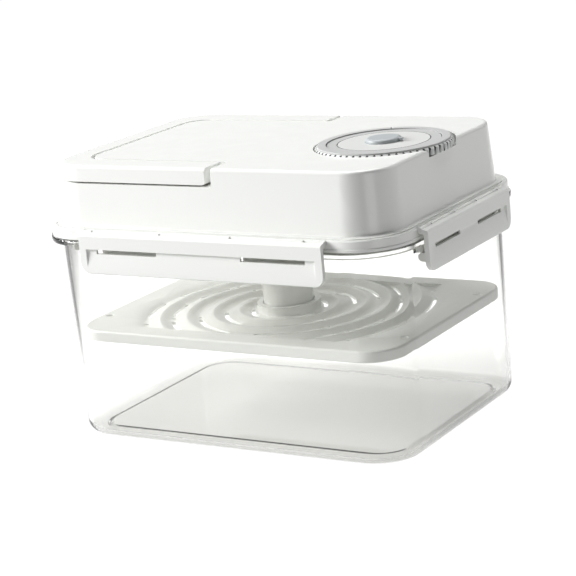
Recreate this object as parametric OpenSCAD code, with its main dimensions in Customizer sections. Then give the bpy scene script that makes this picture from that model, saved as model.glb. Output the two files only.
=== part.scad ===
/* [Tub] */
// Outside length of the clear tub at its mouth
tub_length = 324.4; // [300:1:350]
// Outside depth of the tub at its mouth, front to back
tub_width = 229.4; // [215:1:250]
// Height of the tub up to its sealing edge
tub_height = 178.5; // [165:0.5:195]
// Outside corner radius of the tub in plan
tub_corner = 39; // [34:1:44]
// Wall thickness of the tub
tub_wall = 3; // [2.4:0.1:3.6]
// How far each wall leans in from the mouth to the base
tub_draft = 1.8; // [1:0.1:3]
// Radius between wall and base
tub_base_round = 10; // [6:1:12]
// How far the middle of the base is pressed up inside the foot ring
foot_rise = 2; // [1:0.5:3]
// Breadth of the foot ring from the wall inwards
foot_breadth = 18.5; // [16:0.5:22]
// Room between the rim's edge and the inner faces of the front and back latches
rim_room = 0.4; // [0.3:0.1:1.2]
// Thickness of the rim
rim_thick = 4.4; // [3.6:0.2:4.8]
// How far the rim lies under the sealing edge
rim_drop = 4.5; // [4.2:0.1:5.2]

/* [Lid] */
// How much smaller than the tub's mouth the foot of the raised lid is, each way
lid_inset = 4.2; // [3:0.2:6]
// Height of the raised lid above its flange
lid_rise = 50.5; // [46:0.5:60]
// How far each side of the raised lid leans in from foot to top
lid_draft = 3; // [1.5:0.5:4]
// Radius along the top edge of the raised lid
lid_edge_round = 3; // [2:0.5:4]
// Wall thickness of the lid mouldings
lid_wall = 3; // [2.4:0.2:3.6]
// How far the flange stands out past the tub's wall on the long axis
flange_reach_x = 6.3; // [5.8:0.1:7]
// How far the flange stands out past the tub's wall on the short axis
flange_reach_y = 4.8; // [4.4:0.1:5.5]
// Height of the sealing gasket
gasket_height = 2; // [1.6:0.2:2.6]
// Length of the skirt that the lid's inner plate hangs inside the tub
skirt_length = 6.5; // [5:0.5:9]
// Distance of the screw bosses from the lid's inner wall
boss_inset = 16; // [15:0.5:18]

/* [Handle] */
// Width of the handle's crossbar
handle_bar = 20; // [17:0.5:23]
// Width of the handle's two arms
handle_arm = 24.5; // [22:0.5:27]
// Thickness of the handle
handle_thick = 13.3; // [12:0.1:15]
// Gap between the handle's arms and the lid
handle_gap = 2; // [1.4:0.2:2.6]
// Gap between the handle's crossbar and the lid
bar_gap = 3.4; // [2.6:0.2:4.2]
// Where the arms end, from the lid's centre
handle_end = 2; // [-4:0.5:4]
// Distance from the arm's end to its pivot
pivot_inset = 5; // [4.6:0.1:5.4]
// Depth of the pivots under the top of the lid
pivot_depth = 6.4; // [6.2:0.1:6.8]
// Radius of the lower corner at the arm's end
handle_end_round = 3; // [2.8:0.2:4]
// Room in which the arm's end swings down past the lid
end_room = 2.8; // [1:0.1:4]
// Radius of the pivot studs
pivot_stud = 3; // [2.4:0.1:3.4]
// Inside corner radius of the handle
handle_corner = 20; // [14:1:26]

/* [Latches] */
// Length of the front and back latches
latch_long = 230; // [210:2:240]
// Length of the left and right latches
latch_short = 143.2; // [130:1:148]
// How far the latches' faces stand out from the flange
latch_reach = 8.5; // [8:0.1:9.5]
// Thickness of a latch's face
latch_thick = 4; // [3.4:0.1:4.2]
// Height of a latch below its hinge
latch_drop = 32.8; // [31:0.1:36]
// Radius of a latch's lower corners
latch_corner = 9; // [6:0.5:11]
// Height of the slots in a latch
slot_height = 4.1; // [3:0.1:4.6]
// Clear length of each slot in the long latches
slot_long = 59; // [50:1:62]
// Clear length of each slot in the short latches
slot_short = 42; // [34:1:44]
// How far the solid stretch between two slots reaches from the middle of a long latch
slot_start_long = 40; // [38:1:42]
// The same reach on a short latch
slot_start_short = 15.6; // [14:0.2:18]
// Depth of the hollow in the latch's face at the slots
hollow_depth = 2.2; // [1.4:0.1:2.6]
// Distance of the hollow's ends from the ends of the latch
hollow_margin = 6.4; // [5:0.2:10]
// Radius of the hinge barrel
barrel_radius = 2.2; // [2:0.1:2.4]
// Radius of the steel hinge rods
rod_radius = 1; // [0.8:0.1:1.2]
// Length of each hinge knuckle on the lid
knuckle_length = 8; // [6:1:10]

/* [Dial] */
// Distance of the dial's centre in from the end of the tub
dial_inset = 57.4; // [56.6:0.2:58.6]
// Radius of the dial over its ribs
dial_radius = 55.9; // [54.5:0.1:57]
// Number of ribs round the dial
dial_ribs = 60; // [48:1:72]
// Height of the dial's rim
dial_height = 8; // [7:0.5:9]
// How far the dial stands above the lid
dial_proud = 2; // [1:0.2:3]
// Inner radius of the dial's raised ring
dial_ring_inner = 46.8; // [44:0.2:50]
// Radius of the lighter disc on the fixed cap
cap_disc = 37.2; // [34:0.2:41]
// Gap between the dial's ribs and the well they turn in
well_gap = 1.4; // [1:0.1:2.4]
// Radius of the vent button
button_radius = 14.6; // [12:0.1:17]
// How far the vent button stands above the cap
button_proud = 3.3; // [3:0.1:5]
// Travel of the vent button
button_travel = 2.2; // [1.6:0.1:2.4]

/* [Drive] */
// Teeth on the dial's gear
dial_teeth = 37; // [35:1:38]
// Teeth on the gear of the lift tube
tube_teeth = 43; // [42:1:44]
// Face width of both gears
gear_width = 6; // [5:0.5:8]
// Play between the gears at the pitch line
gear_play = 0.5; // [0.3:0.05:0.7]
// Outside radius of the lift tube
tube_outer = 25; // [24:0.2:27]
// Bore radius of the lift tube
tube_bore = 21.6; // [21.4:0.1:22]
// How far the lift tube hangs under the sealing edge
tube_hang = 60.5; // [52:0.5:64]
// Outside radius of the dial's fixed post
post_radius = 12; // [10:0.5:13]
// Radius of the vent rod
vent_rod = 3; // [2:0.2:4]

/* [Press] */
// Gap between the ends of the press plate and the tub's wall
plate_gap_x = 6.7; // [6:0.1:12]
// Gap between the long sides of the press plate and the tub's wall
plate_gap_y = 7.2; // [6:0.1:12]
// Corner radius of the press plate
plate_corner = 28; // [22:1:32]
// Height of the plate's skirt
plate_skirt = 9.5; // [8:0.5:12]
// Thickness of the plate
plate_thick = 2.4; // [2:0.1:3]
// How far the plate's top lies under the sealing edge
plate_drop = 86.2; // [84:0.1:94]
// Depth of the ring valleys in the plate
valley_depth = 2.6; // [1.6:0.1:3]
// Distance from one valley to the next
valley_pitch = 22.5; // [20:0.5:23]
// Radius of the first valley
valley_first = 31; // [30:0.5:33]
// Width of the drain slots
drain_width = 3.6; // [2.6:0.1:4.4]
// Radius of the round drain holes
drain_hole = 2; // [1.4:0.1:2.6]
// Outside radius of the press stem
stem_radius = 21.25; // [21:0.05:21.3]
// Wall of the stem and its hub
stem_wall = 2.9; // [2.4:0.1:3.4]
// Height of the plate's hub ring above the plate
hub_rise = 5.2; // [4:0.2:7]
// How far the stem's threaded follower reaches above the stem's foot
stem_length = 99.5; // [94:0.5:103]

/* [Hidden] */
$fn = 72;

// Clearances: a turning fit, a seated fit and a cut's overrun
turn_fit = 0.06;
seat_fit = 0.3;
over = 1;

// Screws and the bosses that take them
screw_shank = 1.5;
screw_head = 3.5;
screw_head_height = 2;
screw_length = 14;
boss_radius = 4.5;

// Tub
tub_x = tub_length / 2;
tub_y = tub_width / 2;
rim_reach = flange_reach_y + latch_reach - latch_thick - rim_room;
rim_top = tub_height - rim_drop;
rim_bottom = rim_top - rim_thick;
rim_break = 0.8;
foot_corner = 22;
tub_inner_round = tub_base_round - 2;

// Lid heights and outlines
flange_x = tub_x + flange_reach_x;
flange_y = tub_y + flange_reach_y;
flange_corner = tub_corner + 3;
flange_bottom = rim_top + 0.4;
ceiling = tub_height + gasket_height;
flange_top = ceiling + lid_wall;
lid_top = flange_top + lid_rise;
lid_x = tub_x - lid_inset + 2;
lid_y = tub_y - lid_inset;
lid_corner = tub_corner - 2;
foot_round = 3.2;
channel_out = 1.2;
inner_x = lid_x - lid_wall;
inner_y = lid_y - lid_wall;

// Handle and the recess it folds into
recess_floor = lid_top - handle_thick - 1.5;
handle_bottom = lid_top - handle_thick;
pivot_x = handle_end - pivot_inset;
pivot_z = lid_top - pivot_depth;
recess_end = pivot_x + sqrt(pow(pivot_inset, 2) + pow(pivot_depth, 2)) + end_room;
handle_open_x = lid_x - lid_draft - handle_bar;
handle_open_y = lid_y - lid_draft - handle_arm;
island_x = handle_open_x - bar_gap;
island_y = handle_open_y - handle_gap;
island_corner = handle_corner - handle_gap;
cavity_step = recess_floor - lid_wall;
stud_length = lid_wall + handle_gap - seat_fit;

// Latches, measured out from the flange's face
barrel_out = 0.3;
barrel_z = flange_top - barrel_radius;
barrel_clear = barrel_radius + seat_fit;
latch_inner = latch_reach - latch_thick;
latch_bottom = barrel_z - latch_drop;
slot_top = rim_bottom - seat_fit;
slot_bottom = slot_top - slot_height;
bead_top = slot_bottom - 3.2;
bead_bottom = bead_top - 7;
bead_round = 3.2;
bead_gap = 0.9;
bead_margin = 7;
catch_bottom = bead_top + 0.6;
catch_out = -0.5;
catch_margin = 15;
knuckle_gap = 0.3;
knuckle_inset = 14;
end_margin = 3;

// Dial, its post, cap and button
dial_offset = tub_x - dial_inset;
well_radius = dial_radius + well_gap;
dial_top = lid_top + dial_proud;
dial_bottom = dial_top - dial_height;
well_floor = dial_bottom - 0.5;
web_thick = 2.5;
cap_bottom = dial_bottom + web_thick + seat_fit;
cap_top = dial_top - 0.8;
cap_floor = cap_bottom + 1.3;
cap_radius = dial_ring_inner - seat_fit;
rib_depth = 2;
rib_step = 1.5;
hub_radius = post_radius + 4;
hub_bottom = ceiling + 18.5;
gear_bottom = hub_bottom + 1;
button_top = cap_top + button_proud;
button_bottom = cap_floor + button_travel + 0.2;
button_round = 2.6;
tab_width = 2.8;
tab_reach = 2.6;
tab_drop = 1.8;
post_top = cap_bottom + 0.6;

// Gears: the module follows from the shaft distance
gear_module = 2 * dial_offset / (dial_teeth + tube_teeth);
gear_hole = 7;

// Lift tube and what carries it
tube_top = lid_top - lid_wall - 15.5;
tube_bottom = tub_height - tube_hang;
bush_outer = tube_outer + 1.3;
bush_top = ceiling + 7;
shoulder_radius = tube_outer + 5;
wiper_height = 3;
wiper_groove = 1.8;

// Press plate, hub and stem
plate_x = tub_x - tub_wall - plate_gap_x;
plate_y = tub_y - tub_wall - plate_gap_y;
plate_level = tub_height - plate_drop;
plate_bottom = plate_level - plate_skirt;
hub_inner = stem_radius + 0.9;
hub_outer = hub_inner + 4.8;
stem_foot = plate_level + 0.9;
follower_top = stem_foot + stem_length;
follower_height = 10;
follower_radius = tube_bore - turn_fit;
spigot_radius = stem_radius - 1.35;
field_x = plate_x - 11;
field_y = plate_y - 19;
field_corner = plate_corner - 8;
valley_count = 5;
valley_floor = 5;
crest_width = 2;
valley_lift = 0.3;
corner_hole = [plate_x - 9, plate_y - 42.5];
hub_floor = plate_bottom + 3;
screw_circle = 12;
screw_seat = 5;
drain_cut = 14;
drain_under = 8;

// Drain slots: valley number, middle angle and half angle
drains = [[0, 42, 20], [1, 50, 22], [2, 60, 20], [3, 16, 9], [3, 46, 8], [4, 16, 10]];
// Round drain holes: valley number and angle
drain_holes = [[2, 34], [3, 31], [4, 36]];

// Points on an arc from angle a to angle b
function arc(cx, cy, r, a, b, n = 6) =
    [for (i = [0:n]) [cx + r * cos(a + (b - a) * i / n), cy + r * sin(a + (b - a) * i / n)]];

// Rounded rectangle in plan, as half sizes and corner radius
module outline(half_x, half_y, corner) {
    square([2 * (half_x - corner), 2 * half_y], center = true);
    square([2 * half_x, 2 * (half_y - corner)], center = true);
    for (sx = [-1, 1], sy = [-1, 1])
        translate([sx * (half_x - corner), sy * (half_y - corner)]) circle(corner);
}

// Prism on that outline
module slab(half_x, half_y, corner, z0, z1) {
    translate([0, 0, z0]) linear_extrude(z1 - z0) outline(half_x, half_y, corner);
}

// Carries a profile round the outline: x is the distance out from it, y the height
module carried_round(half_x, half_y, corner) {
    for (sx = [0, 1], sy = [0, 1])
        mirror([sx, 0, 0]) mirror([0, sy, 0])
            translate([half_x - corner, half_y - corner, 0])
                rotate_extrude(angle = 90) outside_axis() translate([corner, 0]) children();
    for (sy = [0, 1])
        mirror([0, sy, 0]) translate([corner - half_x, 0, 0]) rotate([90, 0, 90])
            linear_extrude(2 * (half_x - corner)) translate([half_y, 0]) children();
    for (sx = [0, 1])
        mirror([sx, 0, 0]) translate([0, half_y - corner, 0]) rotate([90, 0, 0])
            linear_extrude(2 * (half_y - corner)) translate([half_x, 0]) children();
}

// Keeps a section on the outer side of the axis that it turns about
module outside_axis() {
    intersection() {
        children();
        translate([0, -over]) square([tub_x, lid_top + 2 * over]);
    }
}

// Solid body whose side follows a list of points, each with its distance out and its height
module body_of(half_x, half_y, corner, points) {
    z0 = points[0][1];
    z1 = points[len(points) - 1][1];
    carried_round(half_x, half_y, corner)
        polygon(concat([[-corner, z0]], points, [[-corner, z1]]));
    translate([corner - half_x, corner - half_y, z0])
        cube([2 * (half_x - corner), 2 * (half_y - corner), z1 - z0]);
}

module ring(r_out, r_in, z0, z1) {
    translate([0, 0, z0]) linear_extrude(z1 - z0) difference() {
        circle(r_out);
        circle(r_in);
    }
}

// Places a thing drawn on the front edge of the flange on side k, counted anticlockwise from the front
module on_side(k) {
    rotate([0, 0, 90 * k])
        translate([0, k % 2 == 0 ? -flange_y : -flange_x, 0]) children();
}
function latch_length(k) = k % 2 == 0 ? latch_long : latch_short;
function flange_reach(k) = k % 2 == 0 ? flange_reach_y : flange_reach_x;
function slot_start(k) = k % 2 == 0 ? slot_start_long : slot_start_short;
function slot_length(k) = k % 2 == 0 ? slot_long : slot_short;

// A bar along one side, its section drawn as distance out from the flange and height
module along_side(length) {
    translate([-length / 2, 0, 0]) rotate([90, 0, 90]) linear_extrude(length)
        mirror([1, 0]) children();
}

// Middles of the lid's hinge knuckles along a latch
function knuckles(k) = let (span = latch_length(k) / 2 - knuckle_inset) [-span, -span / 3, span / 3, span];

module tub() {
    side = function (z) -tub_draft * (1 - z / tub_height);
    outside = concat(
        arc(side(tub_base_round) - tub_base_round, tub_base_round, tub_base_round, -90, 0),
        [[0, tub_height]]);
    inside = concat(
        arc(side(tub_wall) - tub_wall - tub_inner_round, tub_wall + tub_inner_round, tub_inner_round, -90, 0),
        [[-tub_wall, tub_height], [-tub_wall, tub_height + over]]);
    color([0.93, 0.95, 0.94, 0.35]) {
        difference() {
            union() {
                body_of(tub_x, tub_y, tub_corner, outside);
                tub_rim();
                for (k = [0:3]) on_side(k) tub_catch(k);
            }
            body_of(tub_x, tub_y, tub_corner, inside);
            slab(tub_x - foot_breadth, tub_y - foot_breadth - 4, foot_corner, -over, foot_rise);
        }
        slab(tub_x - foot_breadth + foot_rise, tub_y - foot_breadth - 4 + foot_rise, foot_corner + foot_rise,
            tub_wall, tub_wall + foot_rise);
    }
}

module tub_rim() {
    carried_round(tub_x + rim_reach, tub_y + rim_reach, tub_corner + rim_reach)
        polygon([[-rim_reach - 1, rim_bottom], [-rim_break, rim_bottom], [0, rim_bottom + rim_break],
            [0, rim_top - rim_break], [-rim_break, rim_top], [-rim_reach - 1, rim_top]]);
}

// Rib under the rim that a latch hooks on
module tub_catch(k) {
    inner = -flange_reach(k) - 1;
    along_side(latch_length(k) - 2 * catch_margin)
        polygon([[inner, catch_bottom], [catch_out - 1, catch_bottom], [catch_out, catch_bottom + 1],
            [catch_out, rim_bottom + 0.5], [inner, rim_bottom + 0.5]]);
}

// The raised block of the lid with its rounded foot and top edge
module lid_block() {
    body_of(lid_x, lid_y, lid_corner, concat(
        [[foot_round, ceiling]],
        arc(foot_round, flange_top + foot_round, foot_round, 270, 180),
        arc(-lid_draft - lid_edge_round, lid_top - lid_edge_round, lid_edge_round, 0, 90)));
}

// The space inside the raised block, up to height z1
module lid_space(z1) {
    lean = lid_draft * (z1 - flange_top) / lid_rise;
    body_of(lid_x, lid_y, lid_corner, [[-lid_wall, ceiling - over], [-lid_wall, flange_top],
        [-lid_wall - lean, z1]]);
}

module lid_flange() {
    difference() {
        body_of(flange_x, flange_y, flange_corner, [[0.6, flange_bottom], [0.6, flange_bottom + 2],
            [0, flange_bottom + 2.6], [0, flange_top - 0.8], [-0.8, flange_top], [-3.2, flange_top],
            [-3.2, flange_top - 0.9], [-4.2, flange_top - 0.9], [-4.2, flange_top + 0.5],
            [-5.4, flange_top + 0.9], [-10, flange_top + 0.9]]);
        slab(tub_x + channel_out, tub_y + channel_out, tub_corner + channel_out, flange_bottom - over, ceiling);
        slab(inner_x, inner_y, lid_corner - lid_wall, ceiling - over, flange_top + 2);
        for (k = [0:3]) on_side(k) latch_groove(k);
    }
}

// Groove in the flange's edge that a latch's barrel lies in, open upwards so the latch can swing up
module latch_groove(k) {
    along_side(latch_length(k) + 2 * seat_fit) {
        translate([barrel_out, barrel_z]) circle(barrel_clear);
        translate([barrel_out - barrel_clear, barrel_z]) square([barrel_clear + 1, barrel_radius + over]);
    }
}

// Plan of the ground that the handle is folded round
module island(grow = 0) {
    translate([recess_end / 2 - island_x / 2 + 40, 0])
        outline(island_x / 2 + recess_end / 2 + 40 + grow, island_y + grow, max(island_corner + grow, 4));
}

module handle_recess() {
    translate([0, 0, recess_floor]) linear_extrude(lid_rise) difference() {
        translate([-lid_x - 9, -lid_y - 9]) square([lid_x + 9 + recess_end, 2 * lid_y + 18]);
        island();
    }
}

// Hollow of the lid: wide below the handle, narrower beside it, full width on the dial's side
module lid_hollow() {
    difference() {
        lid_space(lid_top - lid_wall);
        translate([0, 0, cavity_step]) linear_extrude(lid_rise) difference() {
            translate([-lid_x, -lid_y]) square([lid_x + recess_end + lid_wall, 2 * lid_y]);
            island(-lid_wall);
        }
        translate([dial_offset, 0, well_floor - lid_wall]) cylinder(r = well_radius + lid_wall, h = lid_rise);
    }
}

module lid_bosses() {
    for (p = boss_places()) {
        top = p[0] > recess_end ? lid_top - lid_wall : cavity_step;
        translate([p[0], p[1], ceiling]) cylinder(r = boss_radius, h = top - ceiling + 0.5);
    }
}
function boss_places() = let (d = lid_corner - lid_wall - boss_inset, bx = inner_x - lid_corner + lid_wall + d,
    by = inner_y - lid_corner + lid_wall + d)
    [[-bx, -by], [-bx, by], [bx, -by], [bx, by], [-30, inner_y - 6], [-30, 6 - inner_y]];

module lid_knuckles(k) {
    for (x = knuckles(k))
        translate([x - knuckle_length / 2, 0, 0]) rotate([90, 0, 90]) linear_extrude(knuckle_length)
            mirror([1, 0]) {
                translate([barrel_out, barrel_z]) circle(barrel_radius);
                translate([-3, barrel_z - 1]) square([3 + barrel_out, 2]);
            }
}

module lid_cover() {
    color([0.95, 0.955, 0.945]) difference() {
        union() {
            difference() {
                union() {
                    lid_block();
                    lid_flange();
                }
                slab(tub_x + channel_out, tub_y + channel_out, tub_corner + channel_out, flange_bottom - over, ceiling);
                lid_hollow();
                handle_recess();
                translate([dial_offset, 0, well_floor]) cylinder(r = well_radius, h = 40);
            }
            lid_bosses();
            ring(tube_outer + 1.5, tube_bore + 0.6, tube_top + seat_fit, lid_top - lid_wall + 0.5);
            for (k = [0:3]) on_side(k) lid_knuckles(k);
        }
        translate([dial_offset, 0, well_floor - lid_wall - over])
            cylinder(r = hub_radius + 1, h = lid_wall + 2 * over);
        for (sy = [0, 1])
            mirror([0, sy, 0]) translate([pivot_x, island_y - lid_wall - over, pivot_z]) rotate([-90, 0, 0])
                cylinder(r = pivot_stud + turn_fit, h = lid_wall + 2 * over);
        for (k = [0:3]) on_side(k) rod_at(k, rod_radius, -1);
        for (p = boss_places())
            translate([p[0], p[1], ceiling - over]) cylinder(r = screw_shank, h = screw_length + over);
    }
}

// A rod in the hinge of side k, shorter than the latch by the margin at each end
module rod_at(k, radius, margin) {
    length = latch_length(k) - 2 * margin;
    translate([-length / 2, -barrel_out, barrel_z]) rotate([0, 90, 0]) cylinder(r = radius, h = length);
}

module hinge_rod(k) {
    color([0.75, 0.76, 0.77]) on_side(k) rod_at(k, rod_radius, end_margin);
}
module hinge_rod_front() { hinge_rod(0); }
module hinge_rod_right() { hinge_rod(1); }
module hinge_rod_back() { hinge_rod(2); }
module hinge_rod_left() { hinge_rod(3); }

module lid_liner() {
    gap = 0.5;
    half_x = tub_x - tub_wall - gap;
    half_y = tub_y - tub_wall - gap;
    corner = tub_corner - tub_wall - gap;
    color([0.93, 0.935, 0.925]) difference() {
        union() {
            slab(half_x, half_y, corner, ceiling - lid_wall, ceiling);
            difference() {
                slab(half_x, half_y, corner, ceiling - lid_wall - skirt_length, ceiling - lid_wall + 0.5);
                slab(half_x - lid_wall, half_y - lid_wall, corner - lid_wall,
                    ceiling - lid_wall - skirt_length - over, ceiling - lid_wall + over);
            }
            cylinder(r = bush_outer + 4, h = bush_top - 1.8);
        }
        translate([0, 0, -over]) cylinder(r = bush_outer + 5, h = ceiling - lid_wall - 3 + over);
        cylinder(r = bush_outer, h = lid_top);
        translate([dial_offset, 0, ceiling - lid_wall - over])
            cylinder(r = vent_rod + 0.4, h = lid_wall + 2 * over);
        for (p = boss_places())
            translate([p[0], p[1], ceiling - lid_wall - over])
                cylinder(r = screw_shank + 0.3, h = lid_wall + 2 * over);
    }
}

module lid_gasket() {
    color([0.80, 0.81, 0.80]) carried_round(tub_x, tub_y, tub_corner)
        polygon([[-tub_wall - 0.2, tub_height], [channel_out - 0.3, tub_height],
            [channel_out - 0.3, tub_height + 0.8], [channel_out - 0.8, tub_height + 1.2],
            [channel_out - 0.3, ceiling], [-tub_wall - 0.2, ceiling]]);
}

module liner_screws() {
    color([0.75, 0.76, 0.77]) for (p = boss_places()) translate([p[0], p[1], 0]) {
        translate([0, 0, ceiling - lid_wall - screw_head_height])
            cylinder(r = screw_head, h = screw_head_height);
        translate([0, 0, ceiling - lid_wall - screw_head_height / 2])
            cylinder(r = screw_shank - 0.05, h = screw_length);
    }
}

module handle() {
    color([0.96, 0.965, 0.955]) {
        difference() {
            intersection() {
                lid_block();
                translate([0, lid_y + 9, 0]) rotate([90, 0, 0]) linear_extrude(2 * lid_y + 18) handle_side();
            }
            translate([0, 0, handle_bottom - over]) linear_extrude(handle_thick + 3 * over)
                translate([50 - handle_open_x / 2, 0])
                    outline(50 + handle_open_x / 2, handle_open_y, handle_corner);
        }
        for (sy = [0, 1])
            mirror([0, sy, 0]) translate([pivot_x, handle_open_y - stud_length, pivot_z])
                rotate([-90, 0, 0]) cylinder(r = pivot_stud, h = stud_length + 2);
    }
}

// The handle from the side: flat below, with its arms' ends rounded so that they swing clear of the recess
module handle_side() {
    polygon(concat([[-lid_x - 9, lid_top + over], [-lid_x - 9, handle_bottom]],
        arc(handle_end - handle_end_round, handle_bottom + handle_end_round, handle_end_round, 270, 360),
        [[handle_end, lid_top + over]]));
}

// A latch: hinge barrel, sloping shoulder, face with a hollow and two slots, and the bead that hooks
module latch(k) {
    length = latch_length(k);
    color([0.955, 0.96, 0.95]) on_side(k) difference() {
        union() {
            intersection() {
                along_side(length) latch_section();
                latch_face_shape(length);
            }
            along_side(length - 2 * bead_margin) bead_section(bead_gap - flange_reach(k) + bead_round);
        }
        for (x = knuckles(k))
            translate([x - knuckle_length / 2 - knuckle_gap, -barrel_out, barrel_z]) rotate([0, 90, 0])
                cylinder(r = barrel_clear + 0.8, h = knuckle_length + 2 * knuckle_gap);
        rod_at(k, rod_radius + turn_fit, end_margin - 0.5);
        latch_hollow(length);
        for (s = [-1, 1])
            translate([s * (slot_start(k) + slot_length(k) / 2) - slot_length(k) / 2, -latch_reach - over, slot_bottom])
                cube([slot_length(k), latch_thick + 2 * over, slot_height]);
    }
}

// Hooking bead with a round nose whose middle is the given distance out
module bead_section(nose) {
    polygon(concat([[latch_inner + 0.5, bead_bottom]],
        arc(nose, bead_bottom + bead_round, bead_round, 270, 180),
        arc(nose, bead_top - bead_round, bead_round, 180, 90),
        [[latch_inner + 0.5, bead_top]]));
}

module latch_section() {
    translate([barrel_out, barrel_z]) circle(barrel_radius);
    polygon([[barrel_out, flange_top], [3, flange_top - 0.4], [3.3, flange_top - 1.1],
        [latch_reach - 1.2, barrel_z + 0.2], [latch_reach, barrel_z - 1.3],
        [latch_reach, latch_bottom + 0.8], [latch_reach - 0.8, latch_bottom],
        [latch_inner + 0.8, latch_bottom], [latch_inner, latch_bottom + 0.8],
        [latch_inner, barrel_z - 3.2], [barrel_out, barrel_z - barrel_radius]]);
}

// Front view of the latch, with its lower corners rounded
module latch_face_shape(length) {
    translate([0, over, 0]) rotate([90, 0, 0]) linear_extrude(latch_reach + 2 * over + 8) {
        translate([-length / 2, latch_bottom + latch_corner]) square([length, latch_drop]);
        translate([latch_corner - length / 2, latch_bottom]) square([length - 2 * latch_corner, latch_drop]);
        for (s = [-1, 1])
            translate([s * (length / 2 - latch_corner), latch_bottom + latch_corner]) circle(latch_corner);
    }
    translate([-length / 2, -over, barrel_z - 4]) cube([length, 2 * over + 4, 8]);
}

// Wedge cut in the face, deepest along the top of the slots and running out towards the lower edge
module latch_hollow(length) {
    along_side(length - 2 * hollow_margin) polygon([[latch_reach - hollow_depth, slot_top],
        [latch_reach + over, slot_top], [latch_reach + over, latch_bottom + 6],
        [latch_reach, latch_bottom + 6]]);
}

module latch_front() { latch(0); }
module latch_right() { latch(1); }
module latch_back() { latch(2); }
module latch_left() { latch(3); }

// Outline of a spur gear with involute flanks; one tooth points along +X
function involute(base, r) = let (a = acos(min(1, base / r))) tan(a) * 180 / PI - a;
function gear_points(teeth, play) = let (
    pitch = gear_module * teeth / 2, base = pitch * cos(20), root = pitch - 1.2 * gear_module,
    tip = pitch + 0.9 * gear_module, half = 90 / teeth - play / 2 / pitch * 180 / PI,
    radii = [root, max(base, root + 0.3), pitch, tip],
    flank = [for (r = radii) half + involute(base, pitch) - involute(base, max(r, base))])
    [for (i = [0:teeth - 1]) each concat(
        [for (j = [0:3]) radii[j] * [cos(360 * i / teeth - flank[j]), sin(360 * i / teeth - flank[j])]],
        [for (j = [3:-1:0]) radii[j] * [cos(360 * i / teeth + flank[j]), sin(360 * i / teeth + flank[j])]])];

module gear(teeth, z0) {
    translate([0, 0, z0]) linear_extrude(gear_width) polygon(gear_points(teeth, gear_play / 2));
}

// Ribbed edge: round-nosed ribs with narrow grooves between them
function rib_points(count, r, depth) = [for (i = [0:count - 1]) each
    let (a = 360 * i / count, step = 360 / count)
    [(r - depth) * [cos(a - 0.40 * step), sin(a - 0.40 * step)],
     (r - 0.35) * [cos(a - 0.30 * step), sin(a - 0.30 * step)],
     r * [cos(a - 0.14 * step), sin(a - 0.14 * step)],
     r * [cos(a + 0.14 * step), sin(a + 0.14 * step)],
     (r - 0.35) * [cos(a + 0.30 * step), sin(a + 0.30 * step)],
     (r - depth) * [cos(a + 0.40 * step), sin(a + 0.40 * step)]]];

module dial_wheel() {
    edge = 1.2;
    ring_edge = dial_radius - rib_depth - 0.2;
    color([0.84, 0.845, 0.855]) translate([dial_offset, 0, 0]) difference() {
        union() {
            intersection() {
                translate([0, 0, dial_bottom]) linear_extrude(dial_height)
                    polygon(rib_points(dial_ribs, dial_radius, rib_depth));
                rotate_extrude() polygon(concat([[0, dial_bottom], [dial_radius - edge, dial_bottom],
                    [dial_radius + 0.1, dial_bottom + edge], [dial_radius + 0.1, dial_top - rib_step - edge],
                    [dial_radius - edge, dial_top - rib_step], [ring_edge, dial_top - rib_step]],
                    arc(ring_edge - 0.6, dial_top - 0.6, 0.6, 0, 90, 3), [[0, dial_top]]));
            }
            translate([0, 0, hub_bottom]) cylinder(r = hub_radius, h = dial_bottom - hub_bottom + 1);
        }
        translate([0, 0, dial_bottom + web_thick]) cylinder(r = dial_ring_inner, h = dial_height);
        translate([0, 0, hub_bottom - over]) cylinder(r = post_radius + turn_fit, h = dial_height + 60);
        rotate([0, 0, 111]) translate([dial_ring_inner + 0.6, 0, dial_top]) dial_mark(ring_edge - dial_ring_inner);
    }
}

// Short notch that shows how far the dial has been turned
module dial_mark(length) {
    rotate([90, 0, 90]) linear_extrude(length) polygon([[-1.7, over], [1.7, over], [0.5, -1.2], [-0.5, -1.2]]);
}

module dial_gear() {
    color([0.86, 0.84, 0.76]) translate([dial_offset, 0, 0]) difference() {
        gear(dial_teeth, gear_bottom);
        translate([0, 0, gear_bottom - over]) cylinder(r = hub_radius, h = gear_width + 2 * over);
        for (a = [0:60:300]) rotate([0, 0, a]) translate([(hub_radius + gear_module * dial_teeth / 2) / 2, 0, gear_bottom - over])
            cylinder(r = gear_hole, h = gear_width + 2 * over);
    }
}

module dial_post() {
    color([0.88, 0.885, 0.875]) translate([dial_offset, 0, 0]) difference() {
        union() {
            translate([0, 0, ceiling]) cylinder(r = hub_radius + 3, h = 3);
            translate([0, 0, ceiling]) cylinder(r = hub_radius - 1, h = hub_bottom - seat_fit - ceiling);
            translate([0, 0, ceiling]) cylinder(r = post_radius, h = post_top - ceiling);
        }
        translate([0, 0, ceiling - over]) cylinder(r = vent_rod + 0.4, h = lid_rise + 2 * over);
    }
}

// Fixed cap over the dial's web, with a lighter disc, a ring groove and a notch for the button's tab
module dial_cap() {
    groove = 0.8;
    color([0.90, 0.905, 0.90]) translate([dial_offset, 0, 0]) difference() {
        rotate_extrude() polygon([[post_radius, cap_bottom], [cap_radius, cap_bottom],
            [cap_radius, cap_top - 0.5], [cap_radius - 0.5, cap_top], [cap_disc + groove, cap_top],
            [cap_disc + groove / 2, cap_top - groove], [cap_disc, cap_top],
            [button_radius + seat_fit + 0.5, cap_top], [button_radius + seat_fit, cap_top - 0.5],
            [button_radius + seat_fit, cap_floor], [post_radius, cap_floor]]);
        translate([button_radius - 1, -tab_width / 2 - seat_fit, button_top - tab_drop - button_travel - seat_fit])
            cube([tab_reach + 1 + seat_fit, tab_width + 2 * seat_fit, tab_drop + button_proud]);
    }
}

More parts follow.
